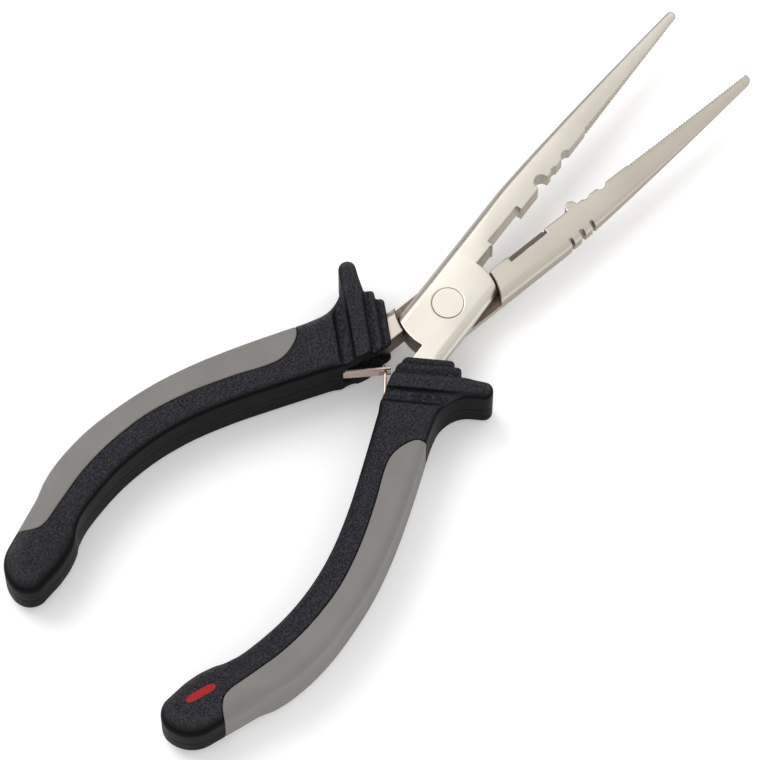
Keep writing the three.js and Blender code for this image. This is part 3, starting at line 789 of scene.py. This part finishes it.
def mark_mask(tree):
    """A plain short bar on the pommel's top face."""
    coordinates = tree.nodes.new("ShaderNodeTexCoord")
    mapping = tree.nodes.new("ShaderNodeMapping")
    mapping.vector_type = "TEXTURE"
    x, y, _ = place(np.array([[MARK_AT[0], MARK_AT[1], 0.0]]), "top")[0]
    mapping.inputs["Location"].default_value = (x, y, 0)
    mapping.inputs["Rotation"].default_value = (0, 0, MARK_TURN)
    mapping.inputs["Scale"].default_value = (MARK_HALF_LENGTH * MM, MARK_HALF_WIDTH * MM, 1)
    link(tree, coordinates.outputs["Object"], mapping.inputs["Vector"])
    split = tree.nodes.new("ShaderNodeSeparateXYZ")
    link(tree, mapping.outputs["Vector"], split.inputs["Vector"])
    x2 = arithmetic(tree, "POWER", arithmetic(tree, "ABSOLUTE", split.outputs["X"], 0.0), 4)
    y2 = arithmetic(tree, "POWER", arithmetic(tree, "ABSOLUTE", split.outputs["Y"], 0.0), 2)
    inside = spread(tree, arithmetic(tree, "ADD", x2, y2), 1, 0, 0.75, 1.1)
    return arithmetic(tree, "MULTIPLY", inside, spread(tree, facing(tree, "Z"), 0, 1, 0.6, 0.8))


def grey_rubber(name):
    """Matt soft grip insert with a faint mottle."""
    material, tree, shader = new_material(name)
    fine = noise(tree, 3000, 3)
    patches = noise(tree, 90, 3)
    colour = blend_colour(tree, spread(tree, patches, 0, 1), (0.185, 0.174, 0.163), (0.21, 0.199, 0.187))
    link(tree, colour, shader.inputs["Base Color"])
    link(tree, spread(tree, fine, 0.62, 0.74), shader.inputs["Roughness"])
    link(tree, bump(tree, fine, 0.00006, 0.35), shader.inputs["Normal"])
    shader.inputs["Specular IOR Level"].default_value = 0.35
    return material


# ---- The pieces ----

# painted light and shade: the top half's steel is made lighter and the bottom half's darker, faces and walls
# alike
steel_top_lit = steel(
    "steel_top_lit", -HALF_OPEN, (0.62, 0.575, 0.505), (0.69, 0.645, 0.575), (0.44, 0.39, 0.33)
)
steel_bottom_shaded = steel(
    "steel_bottom_shaded", HALF_OPEN, (0.50, 0.455, 0.385), (0.56, 0.515, 0.445), (0.36, 0.31, 0.26)
)
# dark steel for painted shade in the recesses
painted_shade_look = painted_shade_steel("painted_shade_steel")
rubber = black_rubber("grip_rubber")
rubber_marked = black_rubber("grip_rubber_marked", marked=True)
soft = grey_rubber("grip_insert")
strip = spring_steel()


def add(name, shape, half, material, node):
    thing = piece(name, *shape, half, material)
    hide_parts(node)
    return thing


top_shape = surface(steel_distance(TOP_FACE, CUTTER_EDGE, []), STEEL_BLOCKS, STEEL_STEP)
bottom_shape = surface(steel_distance(BOTTOM_FACE, -CUTTER_PROUD, BACK_SLOTS), STEEL_BLOCKS, STEEL_STEP)
grip_shape = surface(grip_distance, GRIP_BLOCKS, GRIP_STEP)
insert_shape = surface(insert_distance, GRIP_BLOCKS, GRIP_STEP)
leaf_block = [((-LEAF_FOOT - 1, -1, -3), (15, 1, 3))]


def leaf_shape(forked):
    points, faces = surface(leaf_distance(forked), leaf_block, LEAF_STEP)
    return from_leaf(points), faces


def rivet_shape(segments=96):
    """Both flush heads and the shank, turned round the pivot."""
    top, seat = HALF_THICKNESS, HALF_THICKNESS - RIVET_HEAD_DEPTH
    rim = RIVET_HEAD - RIVET_CHAMFER
    half = [(RIVET_SHANK, seat), (RIVET_HEAD, seat), (RIVET_HEAD, top - RIVET_CHAMFER), (rim, top)]
    rings = np.array([*[(r, -z) for r, z in reversed(half)], *half])
    rings = np.concatenate([[(0.01, -top)], rings, [(0.01, top)]])
    angles = np.arange(segments) * 2 * math.pi / segments
    points = [(r * math.cos(a), r * math.sin(a), z) for r, z in rings for a in angles]
    faces = []
    for ring in range(0, (len(rings) - 1) * segments, segments):
        above = ring + segments
        for j in range(segments):
            k = (j + 1) % segments
            faces.append((ring + j, ring + k, above + k, above + j))
    return np.array(points), np.array(faces)


for half, side, shape, look, grip_look in (
    ("top", "right", top_shape, steel_top_lit, rubber_marked),
    ("bottom", "left", bottom_shape, steel_bottom_shaded, rubber),
):
    body = half + "_half"
    steel_half = add(f"{half}_steel", shape, half, look, f"plier_half_{half}")
    # painted shade on the lap and neck walls; on the bottom half also a painted dark reflection on the
    # cutter's bevel
    paint_shaded_faces(steel_half, shape, half == "bottom")
    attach(steel_half, body)
    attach(add(f"{side}_grip", grip_shape, half, grip_look, f"{side}_grip_body"), body)
    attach(add(f"{side}_insert", insert_shape, half, soft, f"{side}_grip_insert"), body)

rivet = add("rivet", rivet_shape(), "top", steel_top_lit, "pivot_rivet")
rivet.data.set_sharp_from_angle(angle=math.radians(30))
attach(rivet, "top_half")

for half, forked, name, node in (
    ("top", False, "tongue_leaf", "leaf_spring_tongue"),
    ("bottom", True, "forked_leaf", "leaf_spring_forked"),
):
    leaf = add(name, leaf_shape(forked), half, strip, node)
    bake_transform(leaf)

# ---- Floor, light and camera ----

floor_z = cad_box[0][2] - FLOOR_DROP
floor_corners = [(x, y, floor_z) for x, y in ((-3, -3), (3, -3), (3, 3), (-3, 3))]
floor_mesh = bpy.data.meshes.new("floor")
floor_mesh.from_pydata(floor_corners, [], [(0, 1, 2, 3)])
floor = bpy.data.objects.new("floor", floor_mesh)
bpy.context.scene.collection.objects.link(floor)
paper, paper_tree, paper_shader = new_material("paper")
paper_colour = blend_colour(paper_tree, noise(paper_tree, 40), (0.93, 0.93, 0.93), (0.95, 0.95, 0.95))
link(paper_tree, paper_colour, paper_shader.inputs["Base Color"])
paper_shader.inputs["Roughness"].default_value = 1
paper_shader.inputs["Emission Color"].default_value = (1, 1, 1, 1)
paper_shader.inputs["Emission Strength"].default_value = 0.18
paper_shader.inputs["Specular IOR Level"].default_value = 0
floor_mesh.materials.append(paper)


def area_light(name, at, aim, size, power):
    light = bpy.data.lights.new(name, "AREA")
    light.shape = "DISK"
    light.size = size
    light.energy = power
    thing = bpy.data.objects.new(name, light)
    thing.location = at
    thing.rotation_euler = (Vector(aim) - Vector(at)).to_track_quat("-Z", "Y").to_euler()
    bpy.context.scene.collection.objects.link(thing)


area_light("key", KEY_LIGHT_AT, (0, 0, 0), KEY_LIGHT_SIZE, KEY_LIGHT_POWER)

world = bpy.data.worlds.new("studio")
bpy.context.scene.world = world
world.use_nodes = True
sky = world.node_tree
background = sky.nodes["Background"]
sky_place = sky.nodes.new("ShaderNodeTexCoord")
sky_split = sky.nodes.new("ShaderNodeSeparateXYZ")
link(sky, sky_place.outputs["Generated"], sky_split.inputs["Vector"])
away = arithmetic(sky, "MULTIPLY", sky_split.outputs["Y"], -0.55)
height = spread(sky, arithmetic(sky, "ADD", sky_split.outputs["Z"], away), 0, 1, 0.05, 0.95)
link(sky, blend_colour(sky, height, (0.30, 0.30, 0.31), (1.0, 1.0, 1.0)), background.inputs["Color"])
background.inputs["Strength"].default_value = 1.0

camera = bpy.data.cameras.new("camera")
camera.sensor_width = 36
camera.lens = CAMERA_LENS
camera.clip_start = 0.1
camera.clip_end = 10
eye = bpy.data.objects.new("camera", camera)
eye.location = CAMERA_AT
eye.rotation_euler = Vector(CAMERA_FORWARD).to_track_quat("-Z", "Y").to_euler()
bpy.context.scene.collection.objects.link(eye)
bpy.context.scene.camera = eye
bpy.context.scene.view_settings.view_transform = "Standard"
